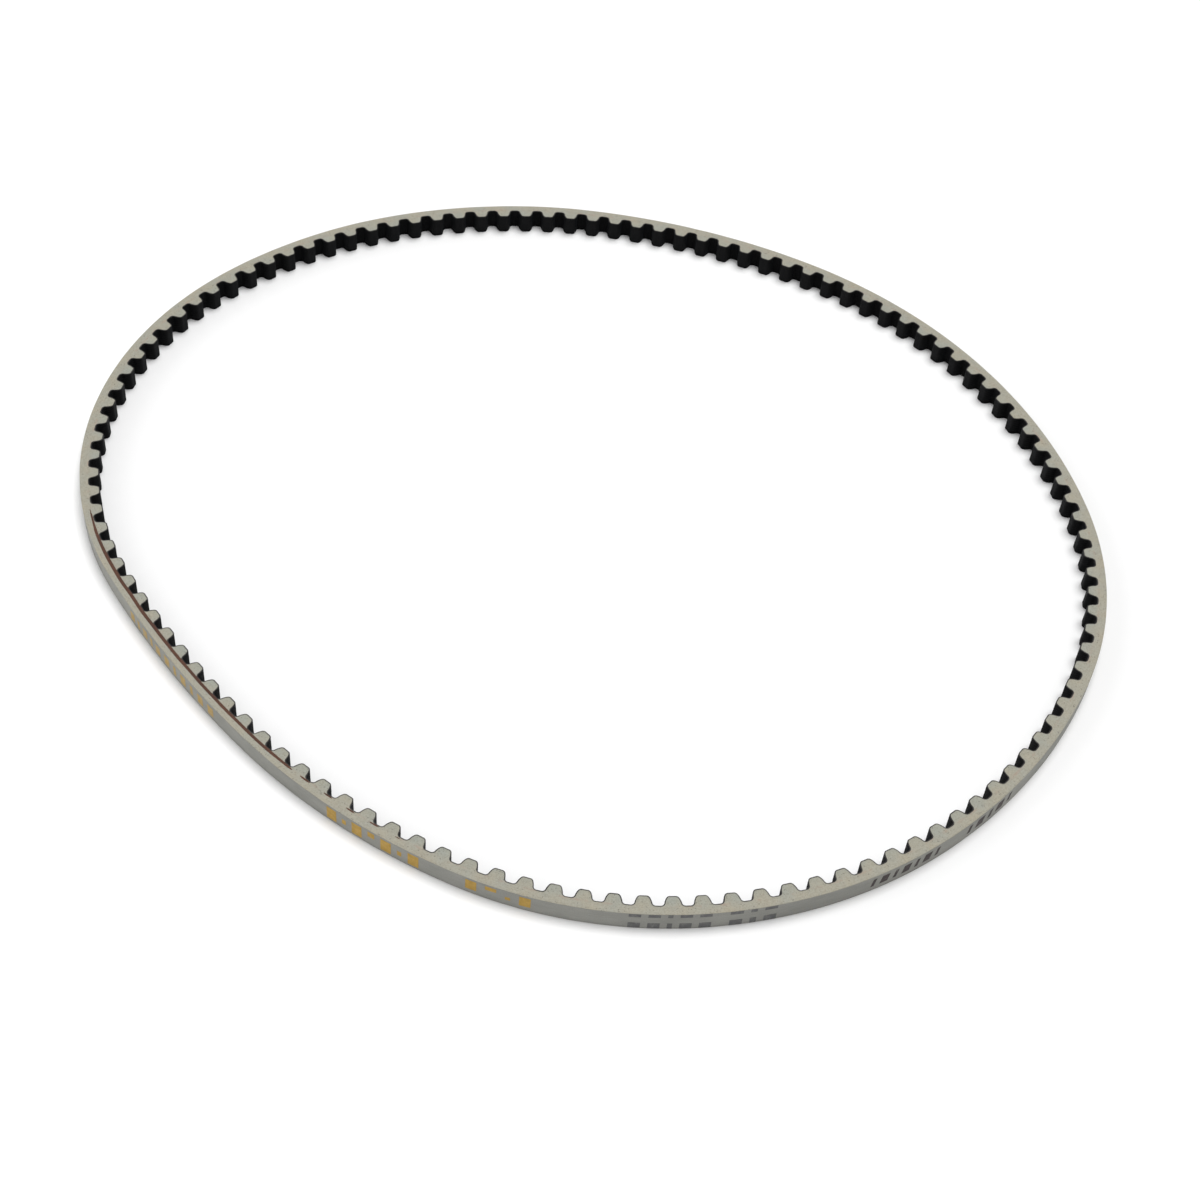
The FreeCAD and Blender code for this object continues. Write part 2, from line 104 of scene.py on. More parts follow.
# ------------------------------------------------------------------ tooth outline
def half_outline():
    """Outside of the facing for x from the tooth's middle to the middle of the land:
    points and the outward (free side) direction, in belt coordinates."""
    pts, nor = [], []
    tx = TOOTH_H - TIP_R
    ty = -ROOT_W / 2 + math.sqrt((ROOT_W - TIP_R) ** 2 - tx ** 2)
    for x in np.linspace(0, ty, 4)[:-1]:
        pts.append((x, -LAND - TOOTH_H)); nor.append((0, -1))
    a_tip = math.atan2(tx, ty + ROOT_W / 2)               # flank direction below the land line
    for a in np.linspace(math.pi / 2, a_tip, 7):
        pts.append((ty + TIP_R * math.cos(a), -LAND - tx - TIP_R * math.sin(a))); nor.append((math.cos(a), -math.sin(a)))
    fy = -ROOT_W / 2 + math.sqrt((ROOT_W + ROOT_R) ** 2 - ROOT_R ** 2)
    a_root = math.atan2(ROOT_R, fy + ROOT_W / 2)
    for a in np.linspace(a_tip, a_root, 8)[1:]:
        pts.append((-ROOT_W / 2 + ROOT_W * math.cos(a), -LAND - ROOT_W * math.sin(a))); nor.append((math.cos(a), -math.sin(a)))
    for a in np.linspace(a_root, math.pi / 2, 7)[1:]:
        pts.append((fy - ROOT_R * math.cos(a), -LAND - ROOT_R + ROOT_R * math.sin(a))); nor.append((math.cos(a), -math.sin(a)))
    for x in np.linspace(fy, 1.5, 4)[1:]:
        pts.append((x, -LAND)); nor.append((0, -1))
    return np.array(pts), np.array(nor)


def loop_outline():
    p, n = half_outline()
    left_p, left_n = p[::-1] * [-1, 1], n[::-1] * [-1, 1]
    one_p = np.vstack([left_p[:-1], p[:-1]])              # one pitch, x from -1.5 up to just under 1.5
    one_n = np.vstack([left_n[:-1], n[:-1]])
    S, N, SI, NI = [], [], [], []
    for k in range(117):
        c = 1.5 + SHIFT + 3.0 * k
        S.append(c + one_p[:, 0]); N.append(one_p[:, 1])
        SI.append(c + one_p[:, 0] - SKIN * one_n[:, 0]); NI.append(one_p[:, 1] - SKIN * one_n[:, 1])
    return [np.concatenate(v) for v in (S, N, SI, NI)]


OUT_S, OUT_N, IN_S, IN_N = loop_outline()


def outline_between(s0, s1):
    """Outline samples from s0 to s1 (both on lands), going past the loop's start if needed."""
    S = np.concatenate([OUT_S - LOOP, OUT_S, OUT_S + LOOP])
    keep = (S > s0 + 1e-6) & (S < s1 - 1e-6)
    cols = [np.concatenate([v + (o if i % 2 == 0 else 0) for o in (-LOOP, 0, LOOP)])[keep]
            for i, v in enumerate((OUT_S, OUT_N, IN_S, IN_N))]
    a, b = [[s0], [-LAND], [s0], [-LAND + SKIN]], [[s1], [-LAND], [s1], [-LAND + SKIN]]
    return [np.concatenate([a[i], cols[i], b[i]]) for i in range(4)]


# ------------------------------------------------------------------ mesh helpers
def make_object(name, verts, belt, faces, mats, face_mat=None, smooth=True):
    me = bpy.data.meshes.new(name)
    me.from_pydata([tuple(v) for v in verts], [], faces)
    at = me.attributes.new("belt", "FLOAT_VECTOR", "POINT")
    at.data.foreach_set("vector", np.asarray(belt, np.float32).ravel())
    for m in mats:
        me.materials.append(m)
    if face_mat is not None:
        me.polygons.foreach_set("material_index", np.asarray(face_mat, np.int32))
    if smooth:
        me.polygons.foreach_set("use_smooth", np.ones(len(me.polygons), bool))
    me.update()
    ob = bpy.data.objects.new(name, me)
    bpy.context.scene.collection.objects.link(ob)
    return ob


def sweep(rings_belt, close_ends=True, col_mat=None):
    """rings_belt: array (stations, ring points, 3) of belt coordinates. Returns verts, belt, faces, face_mat."""
    R = np.asarray(rings_belt, float)
    ns, nr, _ = R.shape
    flat = R.reshape(-1, 3)
    verts = place(flat[:, 0], flat[:, 1], flat[:, 2])
    faces, fm = [], []
    for i in range(ns - 1):
        a, b = i * nr, (i + 1) * nr
        for k in range(nr):
            k2 = (k + 1) % nr
            faces.append((a + k, b + k, b + k2, a + k2))
            fm.append(col_mat[k] if col_mat else 0)
    if close_ends:
        faces.append(tuple(range(nr)))
        fm.append(col_mat[0] if col_mat else 0)
        faces.append(tuple(reversed(range((ns - 1) * nr, ns * nr))))
        fm.append(col_mat[0] if col_mat else 0)
    return verts, flat, faces, fm


def join_parts(parts):
    V, B, F, M = [], [], [], []
    off = 0
    for v, b, f, m in parts:
        V.append(v); B.append(b)
        F += [tuple(i + off for i in q) for q in f]
        M += list(m)
        off += len(v)
    return np.vstack(V), np.vstack(B), F, M


def fix_normals(ob):
    import bmesh
    bm = bmesh.new()
    bm.from_mesh(ob.data)
    bmesh.ops.recalc_face_normals(bm, faces=bm.faces)
    for e in bm.edges:
        e.smooth = len(e.link_faces) == 2 and e.calc_face_angle(0.0) < 0.62
    bm.to_mesh(ob.data)
    bm.free()
    ob.data.update()


# ------------------------------------------------------------------ materials
def new_mat(name):
    m = bpy.data.materials.new(name)
    m.use_nodes = True
    nt = m.node_tree
    for n in list(nt.nodes):
        nt.nodes.remove(n)
    out = nt.nodes.new("ShaderNodeOutputMaterial")
    bsdf = nt.nodes.new("ShaderNodeBsdfPrincipled")
    nt.links.new(bsdf.outputs[0], out.inputs[0])
    at = nt.nodes.new("ShaderNodeAttribute")
    at.attribute_name = "belt"
    return m, nt, bsdf, at


def scaled(nt, at, sx, sy, sz):
    n = nt.nodes.new("ShaderNodeVectorMath")
    n.operation = "MULTIPLY"
    nt.links.new(at.outputs["Vector"], n.inputs[0])
    n.inputs[1].default_value = (sx, sy, sz)
    return n.outputs[0]


def noise(nt, vec, scale, detail=4.0, rough=0.6):
    n = nt.nodes.new("ShaderNodeTexNoise")
    nt.links.new(vec, n.inputs["Vector"])
    n.inputs["Scale"].default_value = scale
    n.inputs["Detail"].default_value = detail
    n.inputs["Roughness"].default_value = rough
    return n.outputs["Fac"]


def ramp(nt, fac, stops):
    n = nt.nodes.new("ShaderNodeValToRGB")
    nt.links.new(fac, n.inputs[0])
    while len(n.color_ramp.elements) < len(stops):
        n.color_ramp.elements.new(0.5)
    for e, (p, c) in zip(n.color_ramp.elements, stops):
        e.position = p
        e.color = (c[0], c[1], c[2], 1) if len(c) == 3 else c
    return n.outputs[0]


def maprange(nt, val, a, b, c=0.0, d=1.0):
    n = nt.nodes.new("ShaderNodeMapRange")
    nt.links.new(val, n.inputs["Value"])
    n.inputs["From Min"].default_value, n.inputs["From Max"].default_value = a, b
    n.inputs["To Min"].default_value, n.inputs["To Max"].default_value = c, d
    return n.outputs[0]


def mix(nt, fac, a, b, mode="MIX"):
    n = nt.nodes.new("ShaderNodeMix")
    n.data_type = "RGBA"
    n.blend_type = mode
    if isinstance(fac, (int, float)):
        n.inputs[0].default_value = fac
    else:
        nt.links.new(fac, n.inputs[0])
    for sock, v in ((n.inputs[6], a), (n.inputs[7], b)):
        if isinstance(v, tuple):
            sock.default_value = (v[0], v[1], v[2], 1)
        else:
            nt.links.new(v, sock)
    return n.outputs[2]


def mathn(nt, op, a, b):
    n = nt.nodes.new("ShaderNodeMath")
    n.operation = op
    for i, v in enumerate((a, b)):
        if v is None:
            continue
        if isinstance(v, (int, float)):
            n.inputs[i].default_value = v
        else:
            nt.links.new(v, n.inputs[i])
    return n.outputs[0]


def bump(nt, bsdf, height, strength, dist_mm):
    b = nt.nodes.new("ShaderNodeBump")
    b.inputs["Strength"].default_value = strength
    b.inputs["Distance"].default_value = dist_mm * MM
    nt.links.new(height, b.inputs["Height"])
    nt.links.new(b.outputs[0], bsdf.inputs["Normal"])


def separate(nt, at):
    n = nt.nodes.new("ShaderNodeSeparateXYZ")
    nt.links.new(at.outputs["Vector"], n.inputs[0])
    return n.outputs


def slit_material(name, body_col, tooth_col):
    """Slit edge of the rubber: pale, with knife lines along the belt, dust and a vague change of tone."""
    m, nt, bsdf, at = new_mat(name)
    xyz = separate(nt, at)
    lines = noise(nt, scaled(nt, at, 0.35, 9.0, 1.0), 1.6, 5.0, 0.65)
    blot = noise(nt, scaled(nt, at, 1.0, 1.0, 1.0), 0.45, 3.0, 0.55)
    grain = noise(nt, scaled(nt, at, 1.0, 1.0, 1.0), 5.5, 5.0, 0.75)
    edge = mathn(nt, "ADD", xyz[1], mathn(nt, "MULTIPLY", mathn(nt, "SUBTRACT", blot, 0.5), 0.9))
    side = maprange(nt, edge, -1.15, 0.15)
    base = mix(nt, side, tooth_col, body_col)
    shade = ramp(nt, lines, [(0.25, (0.86, 0.86, 0.86)), (0.5, (1.0, 1.0, 1.0)), (0.8, (1.07, 1.06, 1.04))])
    base = mix(nt, 1.0, base, shade, "MULTIPLY")
    shade2 = ramp(nt, grain, [(0.32, (0.80, 0.79, 0.77)), (0.50, (1.0, 1.0, 1.0)), (0.72, (1.13, 1.13, 1.13))])
    base = mix(nt, 1.0, base, shade2, "MULTIPLY")
    warm = ramp(nt, blot, [(0.3, (0.965, 0.985, 1.0)), (0.7, (1.04, 0.99, 0.93))])
    base = mix(nt, 1.0, base, warm, "MULTIPLY")
    # faint reddish print-through of the cord bed beside the tooth roots
    band = mathn(nt, "SUBTRACT", 1.0, mathn(nt, "MULTIPLY", mathn(nt, "ABSOLUTE", mathn(nt, "ADD", xyz[1], 0.22), None), 5.0))
    spots = maprange(nt, noise(nt, scaled(nt, at, 1.0, 0.6, 0.2), 0.9, 3.0, 0.6), 0.50, 0.66)
    k = mathn(nt, "MULTIPLY", mathn(nt, "MAXIMUM", band, 0.0), spots)
    base = mix(nt, mathn(nt, "MULTIPLY", k, 0.45), base, (0.36, 0.24, 0.19))
    specks = maprange(nt, noise(nt, scaled(nt, at, 1.0, 1.0, 1.0), 5.0, 1.0, 0.4), 0.68, 0.73)
    base = mix(nt, mathn(nt, "MULTIPLY", specks, 0.5), base, (0.10, 0.09, 0.085))
    nt.links.new(base, bsdf.inputs["Base Color"])
    nt.links.new(maprange(nt, lines, 0.2, 0.8, 0.72, 0.90), bsdf.inputs["Roughness"])
    bsdf.inputs["Specular IOR Level"].default_value = 0.25
    h = mathn(nt, "ADD", mathn(nt, "MULTIPLY", lines, 1.0), mathn(nt, "MULTIPLY", grain, 0.5))
    bump(nt, bsdf, h, 0.45, 0.03)
    return m


def back_material():
    """Ground outside face: matte grey with a fine sanded grain and a little dust."""
    m, nt, bsdf, at = new_mat("ground_back")
    grain = noise(nt, scaled(nt, at, 1.0, 1.0, 1.0), 9.0, 5.0, 0.75)
    streak = noise(nt, scaled(nt, at, 0.5, 1.0, 5.0), 2.0, 4.0, 0.6)
    blot = noise(nt, scaled(nt, at, 0.35, 1.0, 1.0), 0.6, 3.0, 0.5)
    base = ramp(nt, blot, [(0.3, (0.262, 0.262, 0.240)), (0.7, (0.318, 0.316, 0.290))])
    base = mix(nt, 1.0, base, ramp(nt, grain, [(0.3, (0.84, 0.84, 0.84)), (0.5, (1, 1, 1)), (0.75, (1.12, 1.12, 1.10))]), "MULTIPLY")
    base = mix(nt, 0.7, base, ramp(nt, streak, [(0.3, (0.92, 0.92, 0.92)), (0.7, (1.06, 1.06, 1.06))]), "MULTIPLY")
    nt.links.new(base, bsdf.inputs["Base Color"])
    nt.links.new(maprange(nt, grain, 0.2, 0.8, 0.70, 0.88), bsdf.inputs["Roughness"])
    bsdf.inputs["Specular IOR Level"].default_value = 0.3
    bump(nt, bsdf, mathn(nt, "ADD", grain, mathn(nt, "MULTIPLY", streak, 0.6)), 0.5, 0.03)
    return m


def fabric_material():
    """Woven nylon facing: black twill with a faint cool sheen, worn a little greyer on tooth tips."""
    m, nt, bsdf, at = new_mat("facing_fabric")
    xyz = separate(nt, at)
    TH = 0.17
    warp = mathn(nt, "SINE", mathn(nt, "MULTIPLY", xyz[2], 2 * math.pi / TH), None)
    diag = mathn(nt, "SINE", mathn(nt, "MULTIPLY", mathn(nt, "ADD", xyz[0], mathn(nt, "MULTIPLY", xyz[2], 1.0)), 2 * math.pi / (TH * 2)), None)
    weave = mathn(nt, "ADD", mathn(nt, "MULTIPLY", warp, 0.5), mathn(nt, "MULTIPLY", diag, 0.5))
    fuzz = noise(nt, scaled(nt, at, 1.0, 1.0, 1.0), 11.0, 3.0, 0.7)
    blot = noise(nt, scaled(nt, at, 0.7, 1.0, 0.8), 0.8, 3.0, 0.5)
    base = ramp(nt, maprange(nt, weave, -1, 1), [(0.0, (0.0015, 0.0015, 0.0017)), (1.0, (0.0050, 0.0052, 0.0056))])
    base = mix(nt, maprange(nt, blot, 0.45, 0.8, 0.0, 0.40), base, (0.009, 0.0092, 0.010))
    tip = maprange(nt, xyz[1], -LAND - TOOTH_H + 0.10, -LAND - TOOTH_H)
    wear = mathn(nt, "MULTIPLY", tip, maprange(nt, fuzz, 0.35, 0.7))
    base = mix(nt, mathn(nt, "MULTIPLY", wear, 0.4), base, (0.016, 0.0162, 0.017))
    nt.links.new(base, bsdf.inputs["Base Color"])
    nt.links.new(maprange(nt, fuzz, 0.2, 0.8, 0.60, 0.85), bsdf.inputs["Roughness"])
    bsdf.inputs["Specular IOR Level"].default_value = 0.07
    bsdf.inputs["Sheen Weight"].default_value = 0.012
    bsdf.inputs["Sheen Roughness"].default_value = 0.45
    bsdf.inputs["Sheen Tint"].default_value = (0.75, 0.85, 1.0, 1.0)
    bump(nt, bsdf, mathn(nt, "ADD", weave, mathn(nt, "MULTIPLY", fuzz, 0.5)), 0.6, 0.04)
    return m


def fabric_edge_material():
    """Cut edge of the facing: dark threads seen end-on, dusted by the grey rubber."""
    m, nt, bsdf, at = new_mat("facing_cut_edge")
    n1 = noise(nt, scaled(nt, at, 1.0, 1.0, 1.0), 7.0, 4.0, 0.7)
    n2 = noise(nt, scaled(nt, at, 0.4, 1.0, 1.0), 1.3, 3.0, 0.6)
    base = ramp(nt, n1, [(0.30, (0.018, 0.017, 0.018)), (0.62, (0.055, 0.052, 0.050)), (0.85, (0.13, 0.125, 0.115))])
    base = mix(nt, maprange(nt, n2, 0.5, 0.7, 0.0, 0.5), base, (0.10, 0.096, 0.088))
    nt.links.new(base, bsdf.inputs["Base Color"])
    nt.links.new(maprange(nt, n1, 0.2, 0.8, 0.75, 0.95), bsdf.inputs["Roughness"])
    bsdf.inputs["Specular IOR Level"].default_value = 0.2
    bump(nt, bsdf, n1, 0.6, 0.03)
    return m


def cord_material():
    """Treated tensile cord, cut open along its side: red-brown twisted filaments."""
    m, nt, bsdf, at = new_mat("tensile_cord")
    xyz = separate(nt, at)
    ply = mathn(nt, "SINE", mathn(nt, "MULTIPLY", mathn(nt, "ADD", xyz[0], mathn(nt, "MULTIPLY", xyz[1], 2.2)), 2 * math.pi / 0.55), None)
    fil = noise(nt, scaled(nt, at, 1.2, 7.0, 7.0), 4.0, 4.0, 0.7)
    dark = noise(nt, scaled(nt, at, 0.25, 1.0, 1.0), 0.8, 3.0, 0.6)
    base = ramp(nt, fil, [(0.25, (0.035, 0.016, 0.012)), (0.5, (0.105, 0.045, 0.028)), (0.8, (0.22, 0.11, 0.07))])
    base = mix(nt, maprange(nt, ply, 0.2, 1.0, 0.0, 0.45), base, (0.035, 0.017, 0.013))
    base = mix(nt, maprange(nt, dark, 0.45, 0.7, 0.0, 0.6), base, (0.030, 0.018, 0.015))
    nt.links.new(base, bsdf.inputs["Base Color"])
    nt.links.new(maprange(nt, fil, 0.2, 0.8, 0.6, 0.85), bsdf.inputs["Roughness"])
    bsdf.inputs["Specular IOR Level"].default_value = 0.3
    bump(nt, bsdf, mathn(nt, "ADD", fil, mathn(nt, "MULTIPLY", ply, 0.4)), 0.6, 0.03)
    return m


def ink_material(name, col, thin):
    """Stamped ink: uneven film that lets the rubber's grain through and breaks up at its edges."""
    m, nt, bsdf, at = new_mat(name)
    grain = noise(nt, scaled(nt, at, 1.0, 1.0, 1.0), 9.0, 5.0, 0.75)
    blot = noise(nt, scaled(nt, at, 1.0, 1.0, 1.0), 2.2, 3.0, 0.6)
    dark = tuple(c * 0.78 for c in col)
    base = mix(nt, maprange(nt, blot, 0.35, 0.65), dark, col)
    lost = maprange(nt, mathn(nt, "ADD", mathn(nt, "MULTIPLY", grain, 0.6), mathn(nt, "MULTIPLY", blot, 0.4)), 0.62 - 0.22 * thin, 0.74 - 0.12 * thin)
    base = mix(nt, lost, base, (0.29, 0.288, 0.265))
    nt.links.new(base, bsdf.inputs["Base Color"])
    nt.links.new(maprange(nt, grain, 0.2, 0.8, 0.55, 0.75), bsdf.inputs["Roughness"])
    bsdf.inputs["Specular IOR Level"].default_value = 0.35
    bump(nt, bsdf, grain, 0.4, 0.02)
    return m


M_SLIT = slit_material("slit_rubber", (0.352, 0.341, 0.286), (0.334, 0.336, 0.288))
M_BACK = back_material()
M_FAB = fabric_material()
M_FEDGE = fabric_edge_material()
M_CORD = cord_material()
M_OCHRE = ink_material("ink_ochre", (0.50, 0.31, 0.060), 0.15)
M_FAINT = ink_material("ink_ochre_worn", (0.49, 0.32, 0.085), 0.55)
M_GREY = ink_material("ink_grey", (0.135, 0.135, 0.135), 0.35)
M_DARK = ink_material("ink_dark", (0.048, 0.034, 0.034), 0.25)


# ------------------------------------------------------------------ segments
def hinge(i):
    """Belt coordinate of the hinge between link i and i+1 (1..12)."""
    return LINK * i


def segment_range(i):
    if i == 0:
        return 0.0, SPLIT
    if i == 13:
        return LINK * 12 + SPLIT, LOOP
    return LINK * (i - 1) + SPLIT, LINK * i + SPLIT


def attach(ob, i, nodes):
    """Segment i spans the hinge between link i and i+1 and stays fixed in place; the two end pieces ride on links 01
    and 13.
    """
    fix_normals(ob)
    if i == 0:
        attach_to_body(ob, "link_01")
    elif i == 13:
        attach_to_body(ob, "link_13")
    else:
        j = i                                   # hinge at the start of link i+1
        cx, cy, h, r, x, y = CHAIN[j]
        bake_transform(ob)
    if nodes:
        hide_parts(*nodes)
    return ob


def top_z(s, n):
    """Upper slit face: nearly flat, with the knife's slow wander."""
    return WIDTH + 0.010 * wobble(s, 9, 3) + 0.004 * wobble(s + 2.0 * n, 60, 4) - 0.004


def low_z(s, n):
    return 0.0 * np.asarray(s, float) + 0.004 + 0.002 * wobble(s, 40, 5)


def make_backing(i):
    s0, s1 = segment_range(i)
    s = np.linspace(s0, s1, max(2, int(round((s1 - s0) / 0.30))) + 1)
    zt, zb = top_z(s, 0.3), low_z(s, 0.3)
    e1 = 0.045 + 0.012 * wobble(s, 30, 8)
    e2 = 0.040 + 0.010 * wobble(s, 25, 9)
    one = np.ones_like(s)
    cols = [(0 * one, zb), (0.34 * one, zb), (BACK - e1, zb), (BACK - e1 * 0.3, zb + e1 * 0.3)]
    for k, f in enumerate(np.linspace(0, 1, 9)):
        cols.append((BACK + 0.004 * wobble(s + 7 * f, 50, 11 + k), zb + e1 + f * (zt - zb - e1 - e2)))
    cols += [(BACK - e2 * 0.3, zt - e2 * 0.3), (BACK - e2, zt), (0.34 * one, zt), (0 * one, zt)]
    rings = np.stack([np.stack([s, n, z], -1) for n, z in cols], 1)
    nr = len(cols)
    # strips between ring points k and k+1: slit faces and bevels at both ends, the ground back between
    cm = [1 if 3 <= k <= nr - 6 else 0 for k in range(nr)]
    parts = sweep(rings, True, cm)
    ob = make_object("backing_rubber_%02d" % i, parts[0], parts[1], parts[2], [M_SLIT, M_BACK], parts[3])
    nodes = {0: ["backing_01"], 13: ["backing_13"]}.get(i, ["backing_%02d" % i, "backing_%02d" % (i + 1)])
    return attach(ob, i, nodes)


def make_teeth(i):
    s0, s1 = segment_range(i)
    S, N, SI, NI = outline_between(s0, s1)
    cols = []
    for f in (0.0, 0.35, 0.7, 1.0):
        q = 0.006 + (NI - 0.006) * (1 - f)
        cols.append((SI, q, low_z(SI, q)))
    for f in (1.0, 0.7, 0.35, 0.0):
        q = 0.006 + (NI - 0.006) * (1 - f)
        cols.append((SI, q, top_z(SI, q)))
    rings = np.stack([np.stack(c, -1) for c in cols], 1)
    parts = sweep(rings, True)
    ob = make_object("tooth_rubber_%02d" % i, parts[0], parts[1], parts[2], [M_SLIT], None)
    nodes = {0: ["tooth_rubber_01"], 13: ["tooth_rubber_13"]}.get(i, ["tooth_rubber_%02d" % i, "tooth_rubber_%02d" % (i + 1)])
    return attach(ob, i, nodes)


def make_facing(i):
    s0, s1 = segment_range(i)
    S, N, SI, NI = outline_between(s0, s1)
    zt = top_z(S, -0.5) + 0.004 + 0.006 * wobble(S, 150, 21)
    zb = low_z(S, -0.5)
    e = 0.022

    def inward(d):
        return S + (SI - S) * d, N + (NI - N) * d

    cols = [(SI, NI, zb), (*inward(e / SKIN), zb)]
    for k, f in enumerate(np.linspace(0, 1, 8)):
        d = 0.005 * wobble(S + 11 * f, 120, 31 + k) / SKIN
        cols.append((*inward(d), zb + e + f * (zt - zb - 2 * e)))
    cols += [(*inward(e / SKIN), zt), (SI, NI, zt)]
    rings = np.stack([np.stack(c, -1) for c in cols], 1)
    nr = len(cols)
    cm = [1 if k == 0 or nr - 3 <= k < nr - 1 else 0 for k in range(nr)]
    parts = sweep(rings, True, cm)
    ob = make_object("facing_fabric_%02d" % i, parts[0], parts[1], parts[2], [M_FAB, M_FEDGE], parts[3])
    nodes = {0: ["facing_01"], 13: ["facing_13"]}.get(i, ["facing_%02d" % i, "facing_%02d" % (i + 1)])
    return attach(ob, i, nodes)


CORD_R = 0.165


def open_stretch(s):
    """0 to 1: how far along the part where the knife has left the top turn only beside the lands."""
    return min(max((s - 139.0) / 6.0, 0.0), 1.0)


def cord_line(s, k):
    """Height and outward place of cord turn k; each climbs one lead (1 mm) a turn."""
    z = WIDTH - 0.0385 + 0.037 - (s / LINK - 4.5) / 13.0 + 0.5 * k
    n = 0.012 * float(wobble(s, 70, 51))
    if k == 0:
        # open to view from the end of link 4; under the surface before that and past link 6
        z -= 0.34 * min(max((106.0 - s) / 11.0, 0.0), 1.0) + 0.34 * min(max((s - 155.0) / 5.0, 0.0), 1.0)
        deep = open_stretch(s)
        tooth = 0.5 + 0.5 * math.cos(2 * math.pi * (s - 1.2 - SHIFT) / PITCH)
        z -= 0.24 * deep * tooth - (0.05 + 0.0026 * max(s - 145.0, 0.0)) * deep
        n -= 0.135 * math.exp(-((s - 126.0) / 40.0) ** 4) + 0.055 * deep
    return z, n


def make_cords(i):
    s0, s1 = segment_range(i)
    st = np.linspace(s0, s1, max(2, int(round((s1 - s0) / 0.25))) + 1)
    parts = []
    for k in range(-8, 8):
        zs = [cord_line(s, k)[0] for s in st]
        odd = k % 2 != 0
        # before link 4's end the top turn has been slit away; no stretch is kept where the knife
        # has taken so much that the upper and lower points of a ring would fall together
        run = []
        for s, z in zip(st, zs):
            lid = float(top_z(s, cord_line(s, k)[1])) + (0.012 if not odd else -0.03)
            hold = 0.45 * CORD_R * ((1.16 - 0.62 * open_stretch(s) if k == 0 else 1.0) - 0.05)
            if 0.03 - hold < z < lid + hold and (k != 0 or s > 94.0):
                run.append((s, z))
        if len(run) < 3:
            continue
        rings = []
        for s, z in run:
            n0 = cord_line(s, k)[1]
            tw = 2 * math.pi * s / 1.7
            ring = []
            for a in np.linspace(0, 2 * math.pi, 12, endpoint=False):
                r = CORD_R * ((1.16 - 0.62 * open_stretch(s) if k == 0 else 1.0) + 0.05 * math.cos(3 * (a - tw)))
                zz = z + r * math.sin(a)
                top = float(top_z(s, n0)) + (0.012 if not odd else -0.03)
                ring.append((s, n0 + r * math.cos(a), min(max(zz, 0.03), top)))
            rings.append(ring)
        parts.append(sweep(rings, True))
    V, B, F, M = join_parts(parts)
    ob = make_object("tensile_cords_%02d" % i, V, B, F, [M_CORD], None)
    nodes = {0: ["cords_01"], 13: ["cords_13"]}.get(i, ["cords_%02d" % i, "cords_%02d" % (i + 1)])
    return attach(ob, i, nodes)


def bar(s0, s1, z0, z1, lean=0.0):
    """One printed bar on the back; lean shifts its top along the belt."""
    cols = max(3, int((s1 - s0) / 0.25) + 1)
    rows = 5
    film = 0.014
    V, F = [], []
    for lay, n in ((0, BACK - 0.004), (1, BACK + film)):
        for a in range(rows):
            fz = a / (rows - 1)
            for b in range(cols):
                fs = b / (cols - 1)
                V.append((s0 + fs * (s1 - s0) + lean * (fz - 0.5), n, z0 + fz * (z1 - z0)))
    N = rows * cols
    for a in range(rows - 1):
        for b in range(cols - 1):
            q = a * cols + b
            F.append((q, q + 1, q + cols + 1, q + cols))
            F.append((N + q, N + q + cols, N + q + cols + 1, N + q + 1))
    rim = [b for b in range(cols)] + [a * cols + cols - 1 for a in range(1, rows)] + \
          [(rows - 1) * cols + b for b in range(cols - 2, -1, -1)] + [a * cols for a in range(rows - 2, 0, -1)]
    for u, v in zip(rim, rim[1:] + rim[:1]):
        F.append((u, N + u, N + v, v))
    V = np.array(V)
    return place(V[:, 0], V[:, 1], V[:, 2]), V, F, [0] * len(F)


def make_print(name, i, bars, mat, nodes):
    V, B, F, M = join_parts([bar(*b) for b in bars])
    ob = make_object(name, V, B, F, [mat], None, smooth=False)
    return attach(ob, i, nodes)


for i in range(0, 14):
    make_backing(i)
    make_teeth(i)
    make_facing(i)
    make_cords(i)


def bars_row(link, s0, s1, widths, gap, z0, z1, lean=0.0, heights=None):
    """Bars of the given widths (shares) laid from s0 to s1 of a link."""
    total = sum(widths) + gap * (len(widths) - 1)
    k = (s1 - s0) / total
    out, s = [], LINK * (link - 1) + s0
    for q, w in enumerate(widths):
        lo, hi = (z0, z1) if not heights else (z0 + (z1 - z0) * heights[q][0], z0 + (z1 - z0) * heights[q][1])
        out.append((s, s + w * k, lo, hi, lean))
        s += (w + gap) * k
    return out


FULL = (0.0, 1.0)
make_print("print_ochre_bold", 6,
           bars_row(6, 12.6, 23.8, [1.5, 0.6, 1.5, 1.0, 1.5, 0.6, 1.5], 0.9, 0.35, 2.15, 0.0,
                    [FULL, (0.3, 0.7), FULL, (0.55, 1.0), FULL, (0.3, 0.7), FULL])
           , M_OCHRE, ["print_ochre_06"])
make_print("print_ochre_short", 6,
           bars_row(7, 2.0, 8.8, [1.3, 1.3, 0.6, 1.3], 1.0, 0.65, 2.15, 0.0, [(0, 1), (0.6, 1.0), (0.2, 0.5), (0, 1)]),
           M_OCHRE, ["print_ochre_07"])
make_print("print_ochre_worn_a", 4,
           bars_row(5, 5.3, 11.9, [1.0, 0.5, 1.0, 0.5, 1.0], 0.8, 0.55, 1.85, 0.0), M_FAINT, ["print_ochre_05"])
make_print("print_ochre_worn_b", 5,
           bars_row(5, 12.8, 22.2, [1.0, 0.5, 1.0, 0.5, 1.0, 1.0], 0.9, 0.55, 1.95, 0.0), M_FAINT, [])
make_print("print_grey_upper", 7,
           bars_row(7, 18.4, 26.6, [1.2, 1.2, 0.5, 1.2, 1.2], 0.7, 1.95, 2.44, 0.0)
           + bars_row(8, 1.4, 6.2, [1.2, 0.6, 1.2], 0.7, 1.95, 2.44, 0.0),
           M_GREY, ["print_grey_07"])
